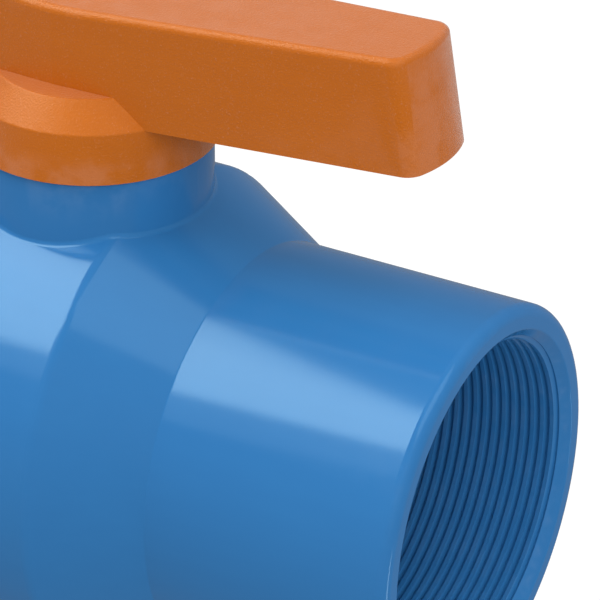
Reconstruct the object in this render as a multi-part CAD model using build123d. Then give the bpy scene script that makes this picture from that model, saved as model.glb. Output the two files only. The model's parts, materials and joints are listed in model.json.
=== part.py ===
from build123d import *
import math
import os

# Quarter-turn ball valve with two threaded sockets for 2 1/2 inch (75 mm) pipe.
# X is the flow axis, Z is the stem axis, and the origin is the centre of the ball.
# The handle lies along the flow axis: the valve is open. All sizes are millimetres.

# ---- how far cutters run past faces and roots run into walls, and how near counts as on a plane ----
OVERCUT = 1.0
ROOT_OVERLAP = 0.5
ON_PLANE = 0.01

# ---- pipe thread in both sockets: parallel, right-handed, 11 threads to the inch ----
THREAD_MAJOR_RADIUS = 37.59
THREAD_PITCH = 25.4 / 11
THREAD_DEPTH = 1.0
THREAD_ROOT_WIDTH = 0.35
THREAD_FLANK_ANGLE = 27.5
THREAD_OVERCUT = 0.3
THREAD_LENGTH = 32.7
THREAD_RELIEF_WIDTH = 3.0
THREAD_RELIEF_DEPTH = 0.2
THREAD_RELIEF_FILLET = 0.8
MOUTH_RADIUS = 39.4

# ---- outside of the body ----
OVERALL_LENGTH = 191.0
SOCKET_RADIUS = 44.5
SOCKET_START_X = 39.1
SOCKET_RIM_FILLET = 2.5
SOCKET_ROOT_FILLET = 0.8
MOUTH_FILLET = 0.5
BARREL_RADIUS = 56.0
BARREL_HALF_LENGTH = 17.0
BARREL_SHOULDER_FILLET = 4.0
NECK_RADIUS = 25.5
NECK_RISE = 8.7
NECK_ROOT_FILLET = 1.2
NECK_RIM_FILLET = 0.5

# ---- inside of the body ----
PASSAGE_RADIUS = 32.0
BALL_RADIUS = 46.0
BALL_GAP = 1.0
BALL_PORT_FILLET = 0.8
CAVITY_TAPER_START_X = 12.0
POCKET_RADIUS = 39.6
POCKET_START_X = 26.0
POCKET_END_X = 39.5

# ---- joint between the body and the end connector ----
SEAM_CLEARANCE = 1.5
SEAM_CHAMFER = 0.35
SPIGOT_TIP_X = 17.0
SPIGOT_TIP_WALL = 3.0
SPIGOT_FIT = 0.02
SPIGOT_TIP_FILLET = 0.5
BODY_RING_GROOVE_X = 20.5

# ---- sealing rings ----
RING_SECTION = 2.0
RING_GROOVE_WIDTH = 2.6
RING_SLACK = 0.02

# ---- seats and their carriers ----
CARRIER_FRONT_X = 27.5
CARRIER_FIT = 0.1
CARRIER_FLOOR_X = 36.2
CARRIER_BORE_STEP = 0.2
CARRIER_WALL = 2.4
CARRIER_EDGE_FILLET = 0.5
SEAT_BORE_STEP = 0.4
SEAT_BACK_X = 34.4
SEAT_FIT = 0.1
SEAT_SPHERE_GAP = 0.1

# ---- stem ----
STEM_RADIUS = 11.0
STEM_RUNNING_FIT = 0.05
STEM_COLLAR_LIP = 4.5
STEM_COLLAR_RISE = 2.2
STEM_COLLAR_HEIGHT = 4.2
STEM_COLLAR_GAP = 0.5
THRUST_WASHER_THICKNESS = 1.4
STEM_RING_SPACING = 6.5
STEM_RING_RISE = 4.0
STEM_SHOULDER_RISE = 9.3
TANG_WIDTH = 11.4
TANG_LENGTH = 28.0
TANG_DEPTH = 8.6
TANG_GAP = 0.3
DRIVE_RADIUS = 9.5
DRIVE_HALF_WIDTH = 7.5
DRIVE_LENGTH = 12.0
DRIVE_FIT = 0.1
DRIVE_CHAMFER = 0.6
WASHER_AXIAL_GAP = 0.1

# ---- neck: bearing boss in an annular well with two stops ----
BOSS_RADIUS = 17.0
BOSS_RISE = 6.8
WELL_WALL = 4.0
WELL_DEPTH = 7.2
STOP_DROP = 0.7
STOP_WIDTH_DEG = 9.0
STOP_GAP_DEG = 0.8
TURN_DEG = 90.0

# ---- handle: a bar with two arms on a bevelled hub ----
HANDLE_GAP = 0.3
HUB_OVERHANG = 1.2
HUB_SKIRT_TAPER = 1.0
HUB_BEVEL_WIDTH = 5.4
HUB_BEVEL_BOTTOM_RISE = 11.1
HUB_TOP_RISE = 16.8
HUB_EDGE_FILLET = 0.7
ARM_LENGTH_BOTTOM = 84.5
ARM_LENGTH_TOP = 80.4
ARM_HALF_WIDTH_HUB = 15.0
ARM_HALF_WIDTH_TIP = 11.4
ARM_BOTTOM_RISE_HUB = 9.8
ARM_BOTTOM_RISE_TIP = 14.4
ARM_TOP_RISE_HUB = 34.0
ARM_TOP_RISE_TIP = 38.9
ARM_SADDLE_RADIUS = 150.0
ARM_TIP_BULGE = 2.6
ARM_TIP_CORNER = 4.0
ARM_EDGE_FILLET = 1.6
ARM_LENGTH_SPARE = 10.0
HANDLE_WALL = 3.0
RIB_THICKNESS = 2.2
RIB_SETBACK = 2.5
RIB_POSITIONS = (30.0, 46.0, 62.0)
HANDLE_SOCKET_RADIUS = 14.0
HANDLE_WEB = 3.0
TAB_REACH = 5.7
TAB_GAP = 0.4
TAB_WIDTH_DEG = 24.0
TAB_CENTRE_DEG = 135.0

# ---- handle screw, its washer and the cap over them ----
SCREW_RADIUS = 3.0
SCREW_LENGTH = 24.0
SCREW_TIP_CHAMFER = 0.7
SCREW_HOLE_SPARE = 2.0
SCREW_FIT = 0.1
SCREW_CLEARANCE = 0.3
SCREW_HEAD_RADIUS = 5.2
SCREW_HEAD_HEIGHT = 3.5
SCREW_HEAD_FILLET = 0.6
SCREW_HEX_ACROSS_FLATS = 4.0
SCREW_HEX_DEPTH = 2.2
FLAT_WASHER_RADIUS = 8.0
FLAT_WASHER_THICKNESS = 1.6
CAP_RADIUS = 9.6
CAP_FIT = 0.1
CAP_THICKNESS = 2.0
CAP_WALL = 1.2
CAP_DOME = 0.5
CAP_NOTCH_RADIUS = 1.2
CAP_DROP = 0.3
CAP_NOTCH_DEPTH = 3.0

# ---- derived places ----
END_X = OVERALL_LENGTH / 2
CREST_RADIUS = THREAD_MAJOR_RADIUS - THREAD_DEPTH
THREAD_OUTER_X = END_X - (MOUTH_RADIUS - CREST_RADIUS)
THREAD_INNER_X = THREAD_OUTER_X - THREAD_LENGTH
RELIEF_INNER_X = THREAD_INNER_X - THREAD_RELIEF_WIDTH
RELIEF_RADIUS = THREAD_MAJOR_RADIUS + THREAD_RELIEF_DEPTH
CONE_SLOPE = (BARREL_RADIUS - SOCKET_RADIUS) / (SOCKET_START_X - BARREL_HALF_LENGTH)
CAVITY_RADIUS = BALL_RADIUS + BALL_GAP
NECK_TOP_Z = BARREL_RADIUS + NECK_RISE
SEAM_X = NECK_RADIUS + SEAM_CLEARANCE
WELL_RADIUS = NECK_RADIUS - WELL_WALL
WELL_FLOOR_Z = NECK_TOP_Z - WELL_DEPTH
BOSS_TOP_Z = NECK_TOP_Z + BOSS_RISE
STOP_TOP_Z = NECK_TOP_Z - STOP_DROP
TANG_BOTTOM_Z = BALL_RADIUS - TANG_DEPTH
STEM_COLLAR_RADIUS = STEM_RADIUS + STEM_COLLAR_LIP
STEM_COLLAR_BOTTOM_Z = BALL_RADIUS + STEM_COLLAR_RISE
STEM_COLLAR_TOP_Z = STEM_COLLAR_BOTTOM_Z + STEM_COLLAR_HEIGHT
STEM_LEDGE_Z = STEM_COLLAR_TOP_Z + THRUST_WASHER_THICKNESS + 2 * WASHER_AXIAL_GAP
STEM_LOWER_RING_Z = STEM_LEDGE_Z + STEM_RING_RISE
STEM_SHOULDER_Z = NECK_TOP_Z + STEM_SHOULDER_RISE
HUB_SKIRT_RADIUS = NECK_RADIUS + HUB_OVERHANG
HUB_BEVEL_OUTER_RADIUS = HUB_SKIRT_RADIUS - HUB_SKIRT_TAPER
HUB_BEVEL_INNER_RADIUS = HUB_BEVEL_OUTER_RADIUS - HUB_BEVEL_WIDTH
HUB_BEVEL_BOTTOM_Z = NECK_TOP_Z + HUB_BEVEL_BOTTOM_RISE
HUB_TOP_Z = NECK_TOP_Z + HUB_TOP_RISE
ARM_BOTTOM_Z_HUB = NECK_TOP_Z + ARM_BOTTOM_RISE_HUB
ARM_BOTTOM_Z_TIP = NECK_TOP_Z + ARM_BOTTOM_RISE_TIP
ARM_TOP_Z_HUB = NECK_TOP_Z + ARM_TOP_RISE_HUB
ARM_TOP_Z_TIP = NECK_TOP_Z + ARM_TOP_RISE_TIP
TAB_BOTTOM_Z = NECK_TOP_Z - TAB_REACH
DRIVE_TOP_Z = STEM_SHOULDER_Z + DRIVE_LENGTH
HANDLE_BOTTOM_Z = NECK_TOP_Z + HANDLE_GAP
WEB_BOTTOM_Z = DRIVE_TOP_Z + HANDLE_GAP
WEB_TOP_Z = WEB_BOTTOM_Z + HANDLE_WEB

FLOW_PLANE = Plane(origin=(0, 0, 0), x_dir=(0, 1, 0), z_dir=(1, 0, 0))


def cone_radius(x):
    """Outer radius of the shoulder cone at a distance x from the middle."""
    return BARREL_RADIUS - CONE_SLOPE * (x - BARREL_HALF_LENGTH)


def turned_about_x(corners):
    """Solid of revolution about the flow axis from (x, radius, corner fillet) points."""
    points = [(x, r) for x, r, fillet_radius in corners]
    radii = [fillet_radius for x, r, fillet_radius in corners]
    outline = FilletPolyline(*points, radius=radii, close=True)
    return revolve(make_face(outline), Axis.X, 360)


def turned_about_z(corners):
    """Solid of revolution about the stem axis from (radius, z, corner fillet) points."""
    points = [(r, z) for r, z, fillet_radius in corners]
    radii = [fillet_radius for r, z, fillet_radius in corners]
    outline = FilletPolyline(*points, radius=radii, close=True)
    return revolve(Plane.XZ * make_face(outline), Axis.Z, 360)


def post(radius, bottom, top):
    """Upright cylinder on the stem axis between two heights."""
    return Pos(0, 0, bottom) * Cylinder(radius, top - bottom, align=(Align.CENTER, Align.CENTER, Align.MIN))


def tube(outer, inner, bottom, top):
    """Upright tube on the stem axis between two heights."""
    return post(outer, bottom, top) - post(inner, bottom, top)


def sector(outer, inner, bottom, top, centre_deg, width_deg):
    """Part of an upright tube, width_deg wide about the direction centre_deg."""
    reach = outer / math.cos(math.radians(width_deg / 2)) + OVERCUT
    half = math.radians(width_deg / 2)
    wedge = Polyline(
        (0, 0),
        (reach * math.cos(half), -reach * math.sin(half)),
        (reach * math.cos(half), reach * math.sin(half)),
        close=True,
    )
    block = extrude(Pos(0, 0, bottom) * make_face(wedge), top - bottom, dir=(0, 0, 1))
    return tube(outer, inner, bottom, top) & (Rot(0, 0, centre_deg) * block)


def other_end(solid):
    """The same piece at the other end of the valve: half a turn about the stem axis."""
    return Rot(0, 0, 180) * solid


def threaded_socket_corners():
    """Corners shared by both ends, from the cone's foot round the mouth to the seat pocket."""
    return [
        (SOCKET_START_X, SOCKET_RADIUS, SOCKET_ROOT_FILLET),
        (END_X, SOCKET_RADIUS, SOCKET_RIM_FILLET),
        (END_X, MOUTH_RADIUS, MOUTH_FILLET),
        (THREAD_OUTER_X, CREST_RADIUS, 0),
        (THREAD_INNER_X, CREST_RADIUS, 0),
        (THREAD_INNER_X, RELIEF_RADIUS, 0),
        (RELIEF_INNER_X, RELIEF_RADIUS, 0),
        (RELIEF_INNER_X, PASSAGE_RADIUS, THREAD_RELIEF_FILLET),
        (POCKET_END_X, PASSAGE_RADIUS, 0),
        (POCKET_END_X, POCKET_RADIUS, 0),
        (POCKET_START_X, POCKET_RADIUS, 0),
    ]


def thread_cutters():
    """Cutters for the groove, one full turn each, from the relief out past the mouth."""
    start_x = RELIEF_INNER_X + THREAD_RELIEF_WIDTH / 2
    turns = math.ceil((END_X - start_x) / THREAD_PITCH)
    path_radius = CREST_RADIUS - THREAD_OVERCUT
    path = Helix(pitch=THREAD_PITCH, height=THREAD_PITCH, radius=path_radius)
    depth = THREAD_MAJOR_RADIUS - path_radius
    root = THREAD_ROOT_WIDTH / 2
    mouth = root + depth * math.tan(math.radians(THREAD_FLANK_ANGLE))
    section = Polyline((0, -mouth), (depth, -root), (depth, root), (0, mouth), close=True)
    start = Plane(origin=path @ 0, x_dir=(1, 0, 0), z_dir=path % 0)
    one_turn = FLOW_PLANE * sweep(start * make_face(section), path=path, is_frenet=True)
    return [Pos(start_x + turn * THREAD_PITCH, 0, 0) * one_turn for turn in range(turns)]


def rims_at(solid, axis, place):
    """Round edges of the solid in a plane across an axis, the smallest first."""
    rims = solid.edges().filter_by(GeomType.CIRCLE)
    return rims.filter_by_position(axis, place - ON_PLANE, place + ON_PLANE).sort_by(SortBy.RADIUS)


def make_valve_body():
    """Right-hand socket, barrel and neck in one moulding, open at the left for the ball."""
    corners = [
        (-SEAM_X, cone_radius(SEAM_X), 0),
        (-BARREL_HALF_LENGTH, BARREL_RADIUS, BARREL_SHOULDER_FILLET),
        (BARREL_HALF_LENGTH, BARREL_RADIUS, BARREL_SHOULDER_FILLET),
    ]
    corners += threaded_socket_corners()
    corners += [(CAVITY_TAPER_START_X, CAVITY_RADIUS, 0), (-SEAM_X, CAVITY_RADIUS, 0)]
    shell = turned_about_x(corners)
    shell = chamfer(rims_at(shell, Axis.X, -SEAM_X)[-1], SEAM_CHAMFER)
    neck = post(NECK_RADIUS, CAVITY_RADIUS + ROOT_OVERLAP, NECK_TOP_Z)
    body = shell + neck
    foot = body.edges().filter_by(lambda edge: on_neck_foot(edge))
    body = fillet(foot, NECK_ROOT_FILLET)
    body = fillet(rims_at(body, Axis.Z, NECK_TOP_Z), NECK_RIM_FILLET)
    body -= tube(WELL_RADIUS, BOSS_RADIUS, WELL_FLOOR_Z, NECK_TOP_Z + OVERCUT)
    body += post(BOSS_RADIUS, WELL_FLOOR_Z, BOSS_TOP_Z)
    body -= post(STEM_COLLAR_RADIUS + STEM_COLLAR_GAP, 0, STEM_LEDGE_Z)
    body -= post(STEM_RADIUS + STEM_RUNNING_FIT, 0, BOSS_TOP_Z + OVERCUT)
    swing = (TAB_WIDTH_DEG + STOP_WIDTH_DEG) / 2 + STOP_GAP_DEG
    for stop_deg in (TAB_CENTRE_DEG + swing, TAB_CENTRE_DEG - TURN_DEG - swing):
        body += sector(
            WELL_RADIUS + ROOT_OVERLAP,
            BOSS_RADIUS - ROOT_OVERLAP,
            WELL_FLOOR_Z - ROOT_OVERLAP,
            STOP_TOP_Z,
            stop_deg,
            STOP_WIDTH_DEG,
        )
    return body - thread_cutters()


def on_neck_foot(edge):
    """True for the edges where the round neck meets the barrel and its shoulders."""
    middle = edge @ 0.5
    from_axis = math.hypot(middle.X, middle.Y)
    return abs(from_axis - NECK_RADIUS) < ON_PLANE and CAVITY_RADIUS + 2 * ROOT_OVERLAP < middle.Z < NECK_TOP_Z - NECK_RIM_FILLET


def make_end_connector():
    """Left-hand socket with the spigot that closes the body behind the ball."""
    spigot_radius = CAVITY_RADIUS - SPIGOT_FIT
    groove_floor = spigot_radius - RING_SECTION
    groove_end_x = BODY_RING_GROOVE_X + RING_GROOVE_WIDTH
    corners = [(SEAM_X, cone_radius(SEAM_X), 0)]
    corners += threaded_socket_corners()
    corners += [
        (SPIGOT_TIP_X, spigot_radius - SPIGOT_TIP_WALL, 0),
        (SPIGOT_TIP_X, spigot_radius, SPIGOT_TIP_FILLET),
        (BODY_RING_GROOVE_X, spigot_radius, 0),
        (BODY_RING_GROOVE_X, groove_floor, 0),
        (groove_end_x, groove_floor, 0),
        (groove_end_x, spigot_radius, 0),
        (SEAM_X, spigot_radius, 0),
    ]
    connector = turned_about_x(corners)
    connector = chamfer(rims_at(connector, Axis.X, SEAM_X)[-1], SEAM_CHAMFER)
    return other_end(connector - thread_cutters())


def ring_about_x(centre_radius, x):
    """Round-section sealing ring about the flow axis, squeezed into its groove."""
    section_radius = RING_SECTION / 2 - RING_SLACK
    return Plane(origin=(x, 0, 0), z_dir=(1, 0, 0)) * Torus(centre_radius, section_radius)


def make_body_o_ring():
    """Ring in the spigot's groove."""
    groove_middle_x = BODY_RING_GROOVE_X + RING_GROOVE_WIDTH / 2
    return other_end(ring_about_x(CAVITY_RADIUS - RING_SECTION / 2, groove_middle_x))


def make_seat_carrier():
    """Ring that holds a seat in the body, with a sealing groove in its back face."""
    outer = POCKET_RADIUS - CARRIER_FIT
    bore = PASSAGE_RADIUS + CARRIER_BORE_STEP
    back_x = POCKET_END_X - CARRIER_FIT
    groove_inner = carrier_ring_radius() - RING_GROOVE_WIDTH / 2
    groove_floor_x = POCKET_END_X - RING_SECTION
    return turned_about_x(
        [
            (CARRIER_FRONT_X, outer, CARRIER_EDGE_FILLET),
            (back_x, outer, 0),
            (back_x, groove_inner + RING_GROOVE_WIDTH, 0),
            (groove_floor_x, groove_inner + RING_GROOVE_WIDTH, 0),
            (groove_floor_x, groove_inner, 0),
            (back_x, groove_inner, 0),
            (back_x, bore, 0),
            (CARRIER_FLOOR_X, bore, 0),
            (CARRIER_FLOOR_X, outer - CARRIER_WALL, 0),
            (CARRIER_FRONT_X, outer - CARRIER_WALL, 0),
        ]
    )


def carrier_ring_radius():
    """Radius of the groove in the carrier's back face."""
    return (PASSAGE_RADIUS + POCKET_RADIUS) / 2


def make_carrier_o_ring():
    """Ring between a carrier and the bottom of its pocket."""
    return ring_about_x(carrier_ring_radius(), POCKET_END_X - RING_SECTION / 2)


def make_seat_ring():
    """Seat that wipes the ball: its front face follows the ball's surface."""
    outer = POCKET_RADIUS - CARRIER_FIT - CARRIER_WALL - SEAT_FIT
    inner = PASSAGE_RADIUS + SEAT_BORE_STEP
    sphere = BALL_RADIUS + SEAT_SPHERE_GAP
    middle = (outer + inner) / 2
    inner_front = (math.sqrt(sphere**2 - inner**2), inner)
    middle_front = (math.sqrt(sphere**2 - middle**2), middle)
    outer_front = (math.sqrt(sphere**2 - outer**2), outer)
    face = ThreePointArc(inner_front, middle_front, outer_front)
    back = Polyline(outer_front, (SEAT_BACK_X, outer), (SEAT_BACK_X, inner), inner_front)
    return revolve(make_face(Curve() + [face, back]), Axis.X, 360)


def make_seat_cushion():
    """Rubber ring that presses a seat against the ball."""
    section_radius = (CARRIER_FLOOR_X - SEAT_BACK_X) / 2 - RING_SLACK
    wall_radius = POCKET_RADIUS - CARRIER_FIT - CARRIER_WALL
    middle_x = (CARRIER_FLOOR_X + SEAT_BACK_X) / 2
    ring = Torus(wall_radius - section_radius - RING_SLACK, section_radius)
    return Plane(origin=(middle_x, 0, 0), z_dir=(1, 0, 0)) * ring


def rounded_tang(gap, bottom, top):
    """Flat key across the flow axis with ends on a circle, grown by gap all round."""
    key = Pos(0, 0, bottom) * Box(
        TANG_WIDTH + 2 * gap,
        TANG_LENGTH + 2 * gap,
        top - bottom,
        align=(Align.CENTER, Align.CENTER, Align.MIN),
    )
    return key & post(TANG_LENGTH / 2 + gap, bottom, top)


def make_ball():
    """Ball with a full-size port along X and a key slot across its top."""
    port_end_x = math.sqrt(BALL_RADIUS**2 - PASSAGE_RADIUS**2)
    surface = ThreePointArc((-port_end_x, PASSAGE_RADIUS), (0, BALL_RADIUS), (port_end_x, PASSAGE_RADIUS))
    port_wall = Line((port_end_x, PASSAGE_RADIUS), (-port_end_x, PASSAGE_RADIUS))
    section = make_face(Curve() + [surface, port_wall])
    ball = revolve(fillet(section.vertices(), BALL_PORT_FILLET), Axis.X, 360)
    return ball - rounded_tang(TANG_GAP, TANG_BOTTOM_Z - TANG_GAP, BALL_RADIUS + OVERCUT)


def double_d(gap, bottom, top):
    """Round bar with two flats that carries the handle, grown by gap all round."""
    flats = Pos(0, 0, bottom) * Box(
        2 * (DRIVE_HALF_WIDTH + gap),
        4 * DRIVE_RADIUS,
        top - bottom,
        align=(Align.CENTER, Align.CENTER, Align.MIN),
    )
    return flats & post(DRIVE_RADIUS + gap, bottom, top)


def make_stem():
    """Stem: key below, collar that can't be blown out, two ring grooves and the drive."""
    stem = post(STEM_COLLAR_RADIUS, STEM_COLLAR_BOTTOM_Z, STEM_COLLAR_TOP_Z)
    stem += post(STEM_RADIUS, STEM_COLLAR_BOTTOM_Z, STEM_SHOULDER_Z)
    stem += double_d(0, STEM_SHOULDER_Z, DRIVE_TOP_Z)
    stem += rounded_tang(0, TANG_BOTTOM_Z, STEM_COLLAR_BOTTOM_Z + ROOT_OVERLAP)
    groove_floor = STEM_RADIUS + STEM_RUNNING_FIT - RING_SECTION
    for ring_z in stem_ring_heights():
        half = RING_GROOVE_WIDTH / 2
        stem -= tube(STEM_RADIUS + OVERCUT, groove_floor, ring_z - half, ring_z + half)
    stem = chamfer(stem.edges().filter_by_position(Axis.Z, DRIVE_TOP_Z - ON_PLANE, DRIVE_TOP_Z + ON_PLANE), DRIVE_CHAMFER)
    return stem - post(SCREW_RADIUS, screw_bottom_z() - SCREW_HOLE_SPARE, DRIVE_TOP_Z + OVERCUT)


def stem_ring_heights():
    """Heights of the two rings round the stem."""
    return [STEM_LOWER_RING_Z, STEM_LOWER_RING_Z + STEM_RING_SPACING]


def make_stem_thrust_washer():
    """Low-friction washer between the stem's collar and the ledge above it."""
    bottom = STEM_COLLAR_TOP_Z + WASHER_AXIAL_GAP
    top = bottom + THRUST_WASHER_THICKNESS
    return tube(STEM_COLLAR_RADIUS, STEM_RADIUS + HANDLE_GAP, bottom, top)


def make_stem_o_ring(ring_z):
    """Ring in one of the stem's grooves."""
    centre_radius = STEM_RADIUS + STEM_RUNNING_FIT - RING_SECTION / 2
    return Pos(0, 0, ring_z) * Torus(centre_radius, RING_SECTION / 2 - 2 * RING_SLACK)


def screw_bottom_z():
    """Height of the handle screw's tip."""
    return WEB_TOP_Z + FLAT_WASHER_THICKNESS - SCREW_LENGTH


def arm_outline(length, inset):
    """Plan of both arms: widest at the hub, with softly bulged ends."""
    hub_y = ARM_HALF_WIDTH_HUB - inset
    tip_y = ARM_HALF_WIDTH_TIP - inset
    end = length - inset
    corner_x = end - ARM_TIP_BULGE
    sides = Curve() + [
        Polyline((-corner_x, tip_y), (0, hub_y), (corner_x, tip_y)),
        ThreePointArc((corner_x, tip_y), (end, 0), (corner_x, -tip_y)),
        Polyline((corner_x, -tip_y), (0, -hub_y), (-corner_x, -tip_y)),
        ThreePointArc((-corner_x, -tip_y), (-end, 0), (-corner_x, tip_y)),
    ]
    plan = make_face(sides)
    corners = [v for v in plan.vertices() if abs(v.X) > length / 2]
    return fillet(corners, ARM_TIP_CORNER - inset / 2)


def arm_length(z):
    """Half the bar's length at height z: the end faces lean inwards."""
    lean = (ARM_LENGTH_BOTTOM - ARM_LENGTH_TOP) / (ARM_TOP_Z_TIP - ARM_BOTTOM_Z_TIP)
    return ARM_LENGTH_BOTTOM - lean * (z - ARM_BOTTOM_Z_TIP)


def arm_envelope(inset, underside_drop):
    """Both arms as one bar; inset shrinks it by a wall, underside_drop opens it below."""
    low = HANDLE_BOTTOM_Z
    high = ARM_TOP_Z_TIP + OVERCUT
    plans = [
        Pos(0, 0, low) * arm_outline(arm_length(low), inset),
        Pos(0, 0, high) * arm_outline(arm_length(high), inset),
    ]
    bar = loft(plans, ruled=True)
    bottom_slope = (ARM_BOTTOM_Z_TIP - ARM_BOTTOM_Z_HUB) / ARM_LENGTH_BOTTOM
    top_slope = (ARM_TOP_Z_TIP - ARM_TOP_Z_HUB) / ARM_LENGTH_TOP
    far = ARM_LENGTH_BOTTOM + ARM_LENGTH_SPARE
    bottom_far = ARM_BOTTOM_Z_HUB + bottom_slope * far - underside_drop
    top_far = ARM_TOP_Z_HUB + top_slope * far - inset
    side = FilletPolyline(
        (-far, bottom_far),
        (0, ARM_BOTTOM_Z_HUB - underside_drop),
        (far, bottom_far),
        (far, top_far),
        (0, ARM_TOP_Z_HUB - inset),
        (-far, top_far),
        radius=[0, ARM_SADDLE_RADIUS, 0, 0, ARM_SADDLE_RADIUS, 0],
        close=True,
    )
    slab = extrude(Plane.XZ * make_face(side), 2 * ARM_HALF_WIDTH_HUB, both=True)
    return bar & slab


def make_hub(inset):
    """Round hub under the arms; inset shrinks it by a wall and opens it below."""
    bottom = HANDLE_BOTTOM_Z - inset
    edge = HUB_EDGE_FILLET if inset == 0 else 0
    return turned_about_z(
        [
            (0, bottom, 0),
            (HUB_SKIRT_RADIUS - inset, bottom, 0),
            (HUB_BEVEL_OUTER_RADIUS - inset, HUB_BEVEL_BOTTOM_Z - inset / 3, edge),
            (HUB_BEVEL_INNER_RADIUS - inset / 2, HUB_TOP_Z - inset, edge),
            (0, HUB_TOP_Z - inset, 0),
        ]
    )


def make_handle():
    """Two-armed handle, hollow below, with a socket for the stem and a stop tab."""
    bar = arm_envelope(0, 0)
    top_edges = [e for e in bar.edges() if (e @ 0.5).Z > ARM_TOP_Z_HUB - OVERCUT]
    bar = fillet(top_edges, ARM_EDGE_FILLET)
    bar_shell = bar - arm_envelope(HANDLE_WALL, ARM_TOP_Z_HUB - ARM_BOTTOM_Z_HUB)
    hub_shell = make_hub(0) - make_hub(HANDLE_WALL)
    handle = bar_shell + hub_shell
    core = post(HANDLE_SOCKET_RADIUS, STEM_SHOULDER_Z + DRIVE_FIT, ARM_TOP_Z_HUB - OVERCUT)
    keel = Pos(0, 0, ARM_BOTTOM_Z_HUB) * Box(
        2 * ARM_LENGTH_TOP,
        RIB_THICKNESS,
        2 * (ARM_TOP_Z_TIP - ARM_BOTTOM_Z_HUB),
    )
    ribs = core + keel
    for rib_x in RIB_POSITIONS:
        for side in (-1, 1):
            ribs += Pos(side * rib_x, 0, ARM_TOP_Z_HUB) * Box(
                RIB_THICKNESS,
                2 * ARM_HALF_WIDTH_HUB,
                2 * (ARM_TOP_Z_TIP - ARM_BOTTOM_Z_HUB),
            )
    room = arm_envelope(ARM_EDGE_FILLET, -RIB_SETBACK)
    handle += ribs & room
    handle += core & (room + post(HANDLE_SOCKET_RADIUS, STEM_SHOULDER_Z + DRIVE_FIT, HUB_TOP_Z))
    tab_inner = BOSS_RADIUS + TAB_GAP
    tab_outer = WELL_RADIUS - TAB_GAP
    handle += sector(tab_outer, tab_inner, TAB_BOTTOM_Z, HUB_TOP_Z - OVERCUT, TAB_CENTRE_DEG, TAB_WIDTH_DEG)
    handle -= double_d(DRIVE_FIT, HANDLE_BOTTOM_Z, WEB_BOTTOM_Z)
    handle -= post(SCREW_RADIUS + SCREW_CLEARANCE, WEB_BOTTOM_Z - OVERCUT, WEB_TOP_Z + OVERCUT)
    handle -= post(CAP_RADIUS + CAP_FIT, WEB_TOP_Z, ARM_TOP_Z_TIP)
    return handle


def make_handle_screw():
    """Socket-head screw down the middle of the handle into the stem."""
    head_bottom = WEB_TOP_Z + FLAT_WASHER_THICKNESS
    head_top = head_bottom + SCREW_HEAD_HEIGHT
    screw = turned_about_z(
        [
            (0, screw_bottom_z(), 0),
            (SCREW_RADIUS - SCREW_FIT - SCREW_TIP_CHAMFER, screw_bottom_z(), 0),
            (SCREW_RADIUS - SCREW_FIT, screw_bottom_z() + SCREW_TIP_CHAMFER, 0),
            (SCREW_RADIUS - SCREW_FIT, head_bottom, 0),
            (SCREW_HEAD_RADIUS, head_bottom, 0),
            (SCREW_HEAD_RADIUS, head_top, SCREW_HEAD_FILLET),
            (0, head_top, 0),
        ]
    )
    hexagon = RegularPolygon(SCREW_HEX_ACROSS_FLATS / 2, 6, major_radius=False)
    return screw - extrude(Pos(0, 0, head_top) * hexagon, -SCREW_HEX_DEPTH)


def make_screw_washer():
    """Flat washer under the screw's head."""
    return tube(FLAT_WASHER_RADIUS, SCREW_RADIUS + SCREW_CLEARANCE, WEB_TOP_Z, WEB_TOP_Z + FLAT_WASHER_THICKNESS)


def make_handle_cap():
    """Round snap-in cap with a lip and a notch for prising it out."""
    top = ARM_TOP_Z_HUB - CAP_DROP
    skirt_bottom = WEB_TOP_Z + FLAT_WASHER_THICKNESS + CAP_FIT
    dome_top = top + CAP_DOME
    dome_edge = (CAP_RADIUS, top - CAP_FIT)
    dome = ThreePointArc(dome_edge, (CAP_RADIUS / 2, top + 0.7 * CAP_DOME), (0, dome_top))
    inside = Polyline(
        (0, dome_top),
        (0, top - CAP_THICKNESS),
        (CAP_RADIUS - CAP_WALL, top - CAP_THICKNESS),
        (CAP_RADIUS - CAP_WALL, skirt_bottom),
        (CAP_RADIUS, skirt_bottom),
        dome_edge,
    )
    cap = revolve(Plane.XZ * make_face(Curve() + [dome, inside]), Axis.Z, 360)
    notch = Pos(0, CAP_RADIUS, top) * Cylinder(CAP_NOTCH_RADIUS, 2 * CAP_NOTCH_DEPTH)
    return cap - notch


def build_all():
    """Every node by name."""
    nodes = {
        "valve_body": make_valve_body(),
        "end_connector": make_end_connector(),
        "body_o_ring": make_body_o_ring(),
        "ball": make_ball(),
        "stem": make_stem(),
        "stem_thrust_washer": make_stem_thrust_washer(),
        "handle": make_handle(),
        "handle_screw": make_handle_screw(),
        "screw_washer": make_screw_washer(),
        "handle_cap": make_handle_cap(),
    }
    for name, ring_z in zip(("lower", "upper"), stem_ring_heights()):
        nodes["stem_o_ring_" + name] = make_stem_o_ring(ring_z)
    seat_parts = {
        "seat_carrier": make_seat_carrier(),
        "carrier_o_ring": make_carrier_o_ring(),
        "seat_ring": make_seat_ring(),
        "seat_cushion": make_seat_cushion(),
    }
    for name, solid in seat_parts.items():
        nodes[name + "_right"] = solid
        nodes[name + "_left"] = other_end(solid)
    return nodes


os.makedirs("parts", exist_ok=True)
for name, shape in build_all().items():
    export_step(shape, "parts/" + name + ".step")
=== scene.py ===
import json
import math

import bpy
from mathutils import Matrix, Vector


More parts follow.
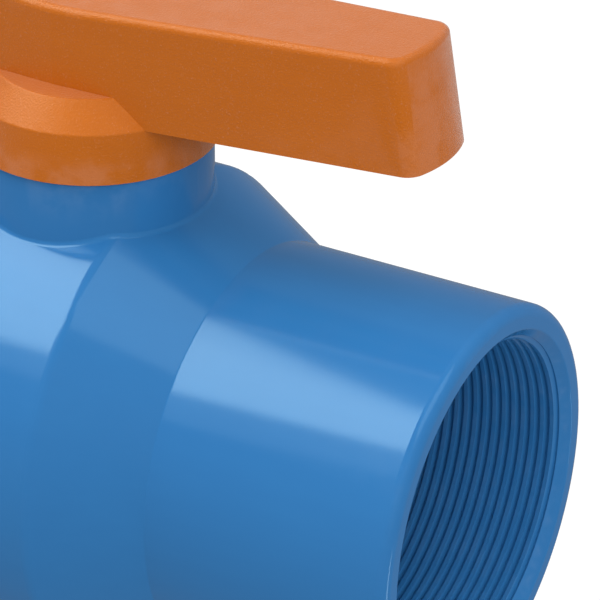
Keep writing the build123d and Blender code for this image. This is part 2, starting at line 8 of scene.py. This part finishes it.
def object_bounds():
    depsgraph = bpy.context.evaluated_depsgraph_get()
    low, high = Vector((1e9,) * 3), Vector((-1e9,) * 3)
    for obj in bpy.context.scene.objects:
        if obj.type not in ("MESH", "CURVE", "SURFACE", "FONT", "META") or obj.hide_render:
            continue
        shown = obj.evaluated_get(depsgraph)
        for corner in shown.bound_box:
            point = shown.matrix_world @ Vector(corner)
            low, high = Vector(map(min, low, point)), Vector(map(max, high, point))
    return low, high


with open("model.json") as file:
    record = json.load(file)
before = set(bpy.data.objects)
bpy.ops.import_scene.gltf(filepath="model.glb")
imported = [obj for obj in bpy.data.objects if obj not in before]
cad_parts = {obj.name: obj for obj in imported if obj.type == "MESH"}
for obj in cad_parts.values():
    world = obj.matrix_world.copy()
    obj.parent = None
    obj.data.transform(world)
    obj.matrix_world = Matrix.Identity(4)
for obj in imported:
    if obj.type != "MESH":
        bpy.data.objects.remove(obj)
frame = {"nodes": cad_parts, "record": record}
cad_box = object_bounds()

MM = 0.001

# Where the camera stands: its bearing, height and distance from the ball's centre in degrees and
# metres, how far it then turns away from that centre, and its lens and sensor in millimetres.
CAMERA_AZIMUTH = 33.255
CAMERA_ELEVATION = 30.017
CAMERA_DISTANCE = 826.6 * MM
CAMERA_TURN_RIGHT = 3.071
CAMERA_TURN_UP = 1.382
CAMERA_ROLL = 0.341
CAMERA_LENS = 226.2
CAMERA_SENSOR = 36.0
NEAR_LIMIT = 0.01
FAR_LIMIT = 50.0

FLOOR_SIZE = 8.0
FLOOR_GAP = 0.5 * MM
WHITE_LEVEL = 1.05
WHITE = (1, 1, 1, 1)
PALE_GREY = (0.42, 0.43, 0.45, 1)
TENT_COLOUR = (0.98, 0.99, 1.0, 1)


def unit_direction(azimuth, elevation):
    """Direction towards a bearing: 0 is towards -Y, 90 towards +X, elevation above the floor."""
    a = math.radians(azimuth)
    e = math.radians(elevation)
    return Vector((math.sin(a) * math.cos(e), -math.cos(a) * math.cos(e), math.sin(e)))


# ---------------------------------------------------------------- node helpers


class Nodes:
    """Adds nodes to a node tree in one line each."""

    def __init__(self, tree):
        self.tree = tree
        self.count = 0

    def add(self, kind, settings=None, values=None):
        """A node of that kind, with attributes from settings and input values by socket name."""
        node = self.tree.nodes.new(kind)
        node.location = (220 * self.count, 0)
        self.count += 1
        for key, value in (settings or {}).items():
            setattr(node, key, value)
        for key, value in (values or {}).items():
            node.inputs[key].default_value = value
        return node

    def link(self, source, target):
        """Links an output socket to an input socket."""
        self.tree.links.new(source, target)

    def maths(self, operation, first, second):
        """A Math node. Each operand is a socket or a number."""
        node = self.add("ShaderNodeMath", {"operation": operation})
        for slot, operand in enumerate((first, second)):
            if isinstance(operand, (int, float)):
                node.inputs[slot].default_value = operand
            else:
                self.link(operand, node.inputs[slot])
        return node.outputs[0]

    def band(self, source, low, high):
        """0 below low, 1 above high, smooth in between."""
        node = self.add("ShaderNodeMapRange", {"interpolation_type": "SMOOTHSTEP"})
        node.inputs["From Min"].default_value = low
        node.inputs["From Max"].default_value = high
        self.link(source, node.inputs["Value"])
        return node.outputs["Result"]

    def blend(self, mode, factor, first, second):
        """A colour Mix node. factor, first and second are sockets or plain values."""
        node = self.add("ShaderNodeMix", {"data_type": "RGBA", "blend_type": mode})
        for socket, operand in ((node.inputs[0], factor), (node.inputs[6], first), (node.inputs[7], second)):
            if isinstance(operand, bpy.types.NodeSocket):
                self.link(operand, socket)
            else:
                socket.default_value = operand
        return node.outputs[2]


def new_group(name, inputs, outputs):
    """An empty shader node group with named sockets; returns (tree, Nodes, input node, output node)."""
    tree = bpy.data.node_groups.new(name, "ShaderNodeTree")
    for socket_name, kind, value in inputs:
        socket = tree.interface.new_socket(socket_name, in_out="INPUT", socket_type=kind)
        socket.default_value = value
    for socket_name, kind in outputs:
        tree.interface.new_socket(socket_name, in_out="OUTPUT", socket_type=kind)
    nodes = Nodes(tree)
    return tree, nodes, nodes.add("NodeGroupInput"), nodes.add("NodeGroupOutput")


def moulded_colour_group():
    """Resin colour that drifts a little over the moulding, with faint flow streaks along X."""
    inputs = [
        ("Colour", "NodeSocketColor", (0.5, 0.5, 0.5, 1)),
        ("Deep Colour", "NodeSocketColor", (0.4, 0.4, 0.4, 1)),
        ("Drift", "NodeSocketFloat", 0.3),
        ("Size", "NodeSocketFloat", 25.0),
    ]
    tree, n, group_in, group_out = new_group("moulded colour", inputs, [("Colour", "NodeSocketColor")])
    place = n.add("ShaderNodeTexCoord").outputs["Object"]
    cloud = n.add("ShaderNodeTexNoise", values={"Detail": 3.0, "Roughness": 0.5})
    n.link(place, cloud.inputs["Vector"])
    n.link(group_in.outputs["Size"], cloud.inputs["Scale"])
    stretch = n.add("ShaderNodeMapping", values={"Scale": (0.12, 1.0, 1.0)})
    n.link(place, stretch.inputs["Vector"])
    streak = n.add("ShaderNodeTexNoise", values={"Scale": 320.0, "Detail": 2.0})
    n.link(stretch.outputs["Vector"], streak.inputs["Vector"])
    cloud_share = n.maths("MULTIPLY", cloud.outputs[0], 0.75)
    streak_share = n.maths("MULTIPLY", streak.outputs[0], 0.25)
    mask = n.band(n.maths("ADD", cloud_share, streak_share), 0.3, 0.7)
    amount = n.maths("MULTIPLY", mask, group_in.outputs["Drift"])
    drifted = n.blend("MIX", amount, group_in.outputs["Colour"], group_in.outputs["Deep Colour"])
    n.link(drifted, group_out.inputs["Colour"])
    return tree


def grain_and_glint_group():
    """Spark-eroded mould texture: fine pits and grit as a height, and the grit's peaks as a mask for painted
    glints.
    """
    inputs = [("Pitch", "NodeSocketFloat", 2600.0)]
    outputs = [("Height", "NodeSocketFloat"), ("Glint Specks", "NodeSocketFloat")]
    tree, n, group_in, group_out = new_group("fine grain and glints", inputs, outputs)
    place = n.add("ShaderNodeTexCoord").outputs["Object"]
    pits = n.add("ShaderNodeTexVoronoi", {"feature": "SMOOTH_F1"}, {"Smoothness": 0.6, "Randomness": 1.0})
    n.link(place, pits.inputs["Vector"])
    n.link(group_in.outputs["Pitch"], pits.inputs["Scale"])
    grit = n.add("ShaderNodeTexNoise", values={"Detail": 3.0, "Roughness": 0.65})
    n.link(place, grit.inputs["Vector"])
    n.link(group_in.outputs["Pitch"], grit.inputs["Scale"])
    height = n.maths("ADD", n.maths("MULTIPLY", pits.outputs["Distance"], 0.5), grit.outputs[0])
    n.link(height, group_out.inputs["Height"])
    # The grit's peaks as pale painted glints on the grain.
    n.link(n.band(grit.outputs[0], 0.56, 0.72), group_out.inputs["Glint Specks"])
    return tree


def handling_and_sheen_group():
    """Rubbed edges with a painted edge highlight, as a mask for a paler tint, and patches of hairline
    scuffs, as a mask for roughness.
    """
    inputs = [("Rub And Sheen", "NodeSocketFloat", 0.5), ("Scuff", "NodeSocketFloat", 0.3)]
    outputs = [("Rub And Sheen Mask", "NodeSocketFloat"), ("Scuff Mask", "NodeSocketFloat")]
    tree, n, group_in, group_out = new_group("handling marks and painted sheen", inputs, outputs)
    place = n.add("ShaderNodeTexCoord").outputs["Object"]
    # Pointiness picks out the edges, for rubbed wear and a painted edge highlight together.
    edge_rub_and_sheen = n.band(n.add("ShaderNodeNewGeometry").outputs["Pointiness"], 0.505, 0.56)
    breakup = n.add("ShaderNodeTexNoise", values={"Scale": 140.0, "Detail": 5.0, "Roughness": 0.6})
    n.link(place, breakup.inputs["Vector"])
    rubbed_and_sheen = n.maths("MULTIPLY", edge_rub_and_sheen, n.band(breakup.outputs[0], 0.35, 0.65))
    n.link(n.maths("MULTIPLY", rubbed_and_sheen, group_in.outputs["Rub And Sheen"]), group_out.inputs["Rub And Sheen Mask"])
    stretch = n.add("ShaderNodeMapping", values={"Rotation": (0.3, 0.2, 0.5), "Scale": (0.15, 1.0, 1.0)})
    n.link(place, stretch.inputs["Vector"])
    hair = n.add("ShaderNodeTexNoise", values={"Scale": 900.0, "Detail": 2.0, "Roughness": 0.5})
    n.link(stretch.outputs["Vector"], hair.inputs["Vector"])
    patch = n.add("ShaderNodeTexNoise", values={"Scale": 30.0, "Detail": 2.0})
    n.link(place, patch.inputs["Vector"])
    scuff = n.maths("MULTIPLY", n.band(hair.outputs[0], 0.6, 0.72), n.band(patch.outputs[0], 0.45, 0.7))
    n.link(n.maths("MULTIPLY", scuff, group_in.outputs["Scuff"]), group_out.inputs["Scuff Mask"])
    return tree


GROUPS = {
    "colour": moulded_colour_group(),
    "grain_and_glints": grain_and_glint_group(),
    "handling_and_sheen": handling_and_sheen_group(),
}


# How pale rubbed edges with their painted highlight and the painted glint specks turn, and how much rougher
# a full scuff is.
PALE_LIFT = 0.35
PALE_SHARE = 0.75
SCUFF_ROUGHNESS = 0.25


def rgb(red, green, blue):
    """Linear colour from an 8-bit screen colour."""
    linear = []
    for value in (red, green, blue):
        share = value / 255
        linear.append(share / 12.92 if share <= 0.04045 else ((share + 0.055) / 1.055) ** 2.4)
    return (*linear, 1.0)


def plastic(
    name,
    colour,
    deep,
    drift,
    roughness,
    grain_pitch,
    grain_depth,
    edge_rub_and_sheen,
    scuff,
    glint_specks=0.0,
    shader_values=None,
):
    """Moulded plastic or rubber: drifting colour, grain as bump, pale specks painted as glints, rubbed edges
    with a painted edge highlight, and scuffs.

    grain_pitch is about how many grains a metre holds, and grain_depth is in metres.
    drift, the edge rub with its painted highlight, scuff and the painted glint specks run from 0, none, to
    1.
    """
    material = bpy.data.materials.new(name)
    material.use_nodes = True
    material.node_tree.nodes.clear()
    n = Nodes(material.node_tree)
    out = n.add("ShaderNodeOutputMaterial")
    shader = n.add("ShaderNodeBsdfPrincipled", values=shader_values)
    tint = n.add("ShaderNodeGroup", {"node_tree": GROUPS["colour"]})
    tint.inputs["Colour"].default_value = colour
    tint.inputs["Deep Colour"].default_value = deep
    tint.inputs["Drift"].default_value = drift
    grain_and_glints = n.add("ShaderNodeGroup", {"node_tree": GROUPS["grain_and_glints"]})
    grain_and_glints.inputs["Pitch"].default_value = grain_pitch
    wear_and_sheen = n.add("ShaderNodeGroup", {"node_tree": GROUPS["handling_and_sheen"]})
    wear_and_sheen.inputs["Rub And Sheen"].default_value = edge_rub_and_sheen
    wear_and_sheen.inputs["Scuff"].default_value = scuff
    # Edges and grit peaks turn paler: rubbed wear with a painted edge highlight, and painted glints.
    pale = tuple(min(1.0, PALE_LIFT + PALE_SHARE * channel) for channel in colour[:3]) + (1.0,)
    glint_paling = n.maths("MULTIPLY", grain_and_glints.outputs["Glint Specks"], glint_specks)
    pale_wear_and_glints = n.maths("MAXIMUM", wear_and_sheen.outputs["Rub And Sheen Mask"], glint_paling)
    wear_and_glint_colour = n.blend("MIX", pale_wear_and_glints, tint.outputs["Colour"], pale)
    n.link(wear_and_glint_colour, shader.inputs["Base Color"])
    rougher = n.maths("MULTIPLY", wear_and_sheen.outputs["Scuff Mask"], SCUFF_ROUGHNESS)
    n.link(n.maths("ADD", rougher, roughness), shader.inputs["Roughness"])
    bump = n.add("ShaderNodeBump", values={"Strength": 1.0, "Distance": grain_depth})
    n.link(grain_and_glints.outputs["Height"], bump.inputs["Height"])
    n.link(bump.outputs["Normal"], shader.inputs["Normal"])
    n.link(shader.outputs[0], out.inputs["Surface"])
    return material


def brushed_steel(name):
    """Steel with a fine mottle that varies its colour and roughness."""
    material = bpy.data.materials.new(name)
    material.use_nodes = True
    material.node_tree.nodes.clear()
    n = Nodes(material.node_tree)
    out = n.add("ShaderNodeOutputMaterial")
    shader = n.add("ShaderNodeBsdfPrincipled", values={"Metallic": 1.0})
    place = n.add("ShaderNodeTexCoord").outputs["Object"]
    mottle = n.add("ShaderNodeTexNoise", values={"Scale": 4000.0, "Detail": 2.0})
    n.link(place, mottle.inputs["Vector"])
    colour = n.blend("MIX", mottle.outputs[0], rgb(150, 152, 155), rgb(200, 201, 203))
    n.link(colour, shader.inputs["Base Color"])
    n.link(n.maths("ADD", n.maths("MULTIPLY", mottle.outputs[0], 0.2), 0.22), shader.inputs["Roughness"])
    n.link(shader.outputs[0], out.inputs["Surface"])
    return material


def make_materials():
    """One finish per material slot of the record."""
    return {
        "body_blue": plastic(
            "blue pipe plastic",
            colour=rgb(46, 112, 170),
            deep=rgb(42, 104, 162),
            drift=0.35,
            roughness=0.13,
            grain_pitch=1400.0,
            grain_depth=0.004 * MM,
            edge_rub_and_sheen=0.10,
            scuff=0.25,
            shader_values={"IOR": 1.5, "Specular Tint": (0.6, 0.9, 1.0, 1.0)},
        ),
        "handle_orange": plastic(
            "orange handle plastic",
            colour=rgb(184, 94, 2),
            deep=rgb(172, 84, 1),
            drift=0.35,
            roughness=0.38,
            grain_pitch=2400.0,
            grain_depth=0.09 * MM,
            edge_rub_and_sheen=0.10,
            scuff=0.2,
            # Pale specks on the handle are painted glints.
            glint_specks=0.12,
            shader_values={
                "IOR": 1.5,
                "Specular Tint": (1.0, 0.82, 0.55, 1.0),
                "Sheen Weight": 0.55,
                "Sheen Roughness": 0.35,
                "Sheen Tint": (0.9, 0.95, 0.95, 1.0),
            },
        ),
        "ball_white": plastic(
            "polished white ball",
            colour=rgb(228, 228, 222),
            deep=rgb(216, 217, 212),
            drift=0.3,
            roughness=0.12,
            grain_pitch=900.0,
            grain_depth=0.002 * MM,
            edge_rub_and_sheen=0.0,
            scuff=0.3,
        ),
        "internal_grey": plastic(
            "grey inner plastic",
            colour=rgb(92, 97, 102),
            deep=rgb(80, 84, 90),
            drift=0.4,
            roughness=0.38,
            grain_pitch=1800.0,
            grain_depth=0.02 * MM,
            edge_rub_and_sheen=0.25,
            scuff=0.3,
        ),
        "seat_white": plastic(
            "waxy white seat",
            colour=rgb(238, 237, 230),
            deep=rgb(226, 225, 216),
            drift=0.3,
            roughness=0.42,
            grain_pitch=2000.0,
            grain_depth=0.01 * MM,
            edge_rub_and_sheen=0.0,
            scuff=0.3,
        ),
        "seal_black": plastic(
            "black seal rubber",
            colour=rgb(26, 26, 28),
            deep=rgb(18, 18, 20),
            drift=0.5,
            roughness=0.55,
            grain_pitch=2200.0,
            grain_depth=0.02 * MM,
            edge_rub_and_sheen=0.3,
            scuff=0.2,
        ),
        "screw_steel": brushed_steel("screw steel"),
    }


def paint_nodes(materials):
    """Gives every CAD node the finish of its slot."""
    for part in frame["record"]["subparts"]:
        piece = frame["nodes"][part["node"]]
        for slot in piece.material_slots:
            slot.material = materials[part["material_slot"]]


# ---------------------------------------------------------------- stage, light and camera


def make_floor():
    """A plain pale floor just under the barrel: white to the camera, and it neither shades nor mirrors."""
    low = cad_box[0].z - FLOOR_GAP
    half = FLOOR_SIZE / 2
    mesh = bpy.data.meshes.new("floor")
    corners = [(-half, -half, low), (half, -half, low), (half, half, low), (-half, half, low)]
    mesh.from_pydata(corners, [], [(0, 1, 2, 3)])
    floor = bpy.data.objects.new("floor", mesh)
    bpy.context.scene.collection.objects.link(floor)
    material = bpy.data.materials.new("white floor")
    material.use_nodes = True
    material.node_tree.nodes.clear()
    n = Nodes(material.node_tree)
    out = n.add("ShaderNodeOutputMaterial")
    mat = n.add("ShaderNodeBsdfDiffuse", values={"Color": PALE_GREY})
    glow = n.add("ShaderNodeEmission", values={"Color": WHITE, "Strength": WHITE_LEVEL})
    seen = n.add("ShaderNodeLightPath").outputs["Is Camera Ray"]
    mix = n.add("ShaderNodeMixShader")
    n.link(seen, mix.inputs[0])
    n.link(mat.outputs[0], mix.inputs[1])
    n.link(glow.outputs[0], mix.inputs[2])
    n.link(mix.outputs[0], out.inputs["Surface"])
    mesh.materials.append(material)
    floor.visible_diffuse = False
    floor.visible_glossy = False
    floor.visible_shadow = False


def make_world(brightness, mirrored, colour):
    """Even studio tent: white to the camera, bright to the object and dimmer in its reflections."""
    world = bpy.data.worlds.new("studio")
    bpy.context.scene.world = world
    world.use_nodes = True
    world.node_tree.nodes.clear()
    n = Nodes(world.node_tree)
    out = n.add("ShaderNodeOutputWorld")
    room = n.add("ShaderNodeBackground", values={"Color": colour, "Strength": brightness})
    glass = n.add("ShaderNodeBackground", values={"Color": colour, "Strength": mirrored})
    white = n.add("ShaderNodeBackground", values={"Color": WHITE, "Strength": WHITE_LEVEL})
    path = n.add("ShaderNodeLightPath")
    mirror = n.add("ShaderNodeMixShader")
    n.link(path.outputs["Is Glossy Ray"], mirror.inputs[0])
    n.link(room.outputs[0], mirror.inputs[1])
    n.link(glass.outputs[0], mirror.inputs[2])
    mix = n.add("ShaderNodeMixShader")
    n.link(path.outputs["Is Camera Ray"], mix.inputs[0])
    n.link(mirror.outputs[0], mix.inputs[1])
    n.link(white.outputs[0], mix.inputs[2])
    n.link(mix.outputs[0], out.inputs["Surface"])


def soft_box(name, azimuth, elevation, distance, width, height, radiance, mirrored):
    """A rectangular soft light that faces the ball's centre.

    radiance is how bright its face looks. A light that isn't mirrored stays out of reflections.
    """
    light = bpy.data.lights.new(name, "AREA")
    light.shape = "RECTANGLE"
    light.size = width
    light.size_y = height
    light.energy = radiance * math.pi * width * height
    lamp = bpy.data.objects.new(name, light)
    lamp.visible_glossy = mirrored
    bpy.context.scene.collection.objects.link(lamp)
    towards = unit_direction(azimuth, elevation)
    aim = (-towards).to_track_quat("-Z", "Y").to_matrix().to_4x4()
    lamp.matrix_world = Matrix.Translation(towards * distance) @ aim


# Name, azimuth and elevation in degrees, distance, width and height in metres, radiance, mirrored.
SOFT_BOXES = [
    ("key", -70, 55, 1.1, 1.05, 0.5, 4.6, True),
    ("key spill", -55, 48, 1.2, 1.1, 0.7, 0.8, True),
    ("overhead right", 75, 62, 1.2, 0.9, 0.6, 1.3, True),
    ("mouth fill", 50, 25, 1.2, 1.0, 1.0, 1.9, False),
    ("back fill", 165, 45, 1.2, 1.0, 1.0, 1.2, False),
    ("right strip", 91, -30, 1.2, 0.12, 0.5, 5.0, True),
]


def light_the_studio():
    """A bright tent, a key with its spill high on the left, one overhead, two fills and a low strip."""
    make_world(brightness=0.62, mirrored=0.24, colour=TENT_COLOUR)
    for box in SOFT_BOXES:
        soft_box(*box)


def make_camera():
    """Camera on its bearing from the ball, turned a little right and up, with a slight roll."""
    place = unit_direction(CAMERA_AZIMUTH, CAMERA_ELEVATION) * CAMERA_DISTANCE
    straight = -place.normalized()
    right = straight.cross(Vector((0, 0, 1))).normalized()
    up = right.cross(straight)
    a = math.radians(CAMERA_TURN_RIGHT)
    b = math.radians(CAMERA_TURN_UP)
    look = straight * math.cos(a) * math.cos(b) + right * math.sin(a) * math.cos(b) + up * math.sin(b)
    right = look.cross(Vector((0, 0, 1))).normalized()
    up = right.cross(look)
    roll = math.radians(CAMERA_ROLL)
    tilted_right = right * math.cos(roll) + up * math.sin(roll)
    tilted_up = up * math.cos(roll) - right * math.sin(roll)
    turn = Matrix((tilted_right, tilted_up, -look)).transposed().to_4x4()
    camera = bpy.data.objects.new("camera", bpy.data.cameras.new("camera"))
    bpy.context.scene.collection.objects.link(camera)
    camera.matrix_world = Matrix.Translation(place) @ turn
    camera.data.lens = CAMERA_LENS
    camera.data.sensor_width = CAMERA_SENSOR
    camera.data.clip_start = NEAR_LIMIT
    camera.data.clip_end = FAR_LIMIT
    bpy.context.scene.camera = camera


make_camera()
make_floor()
light_the_studio()
paint_nodes(make_materials())
bpy.context.scene.view_settings.view_transform = "Standard"
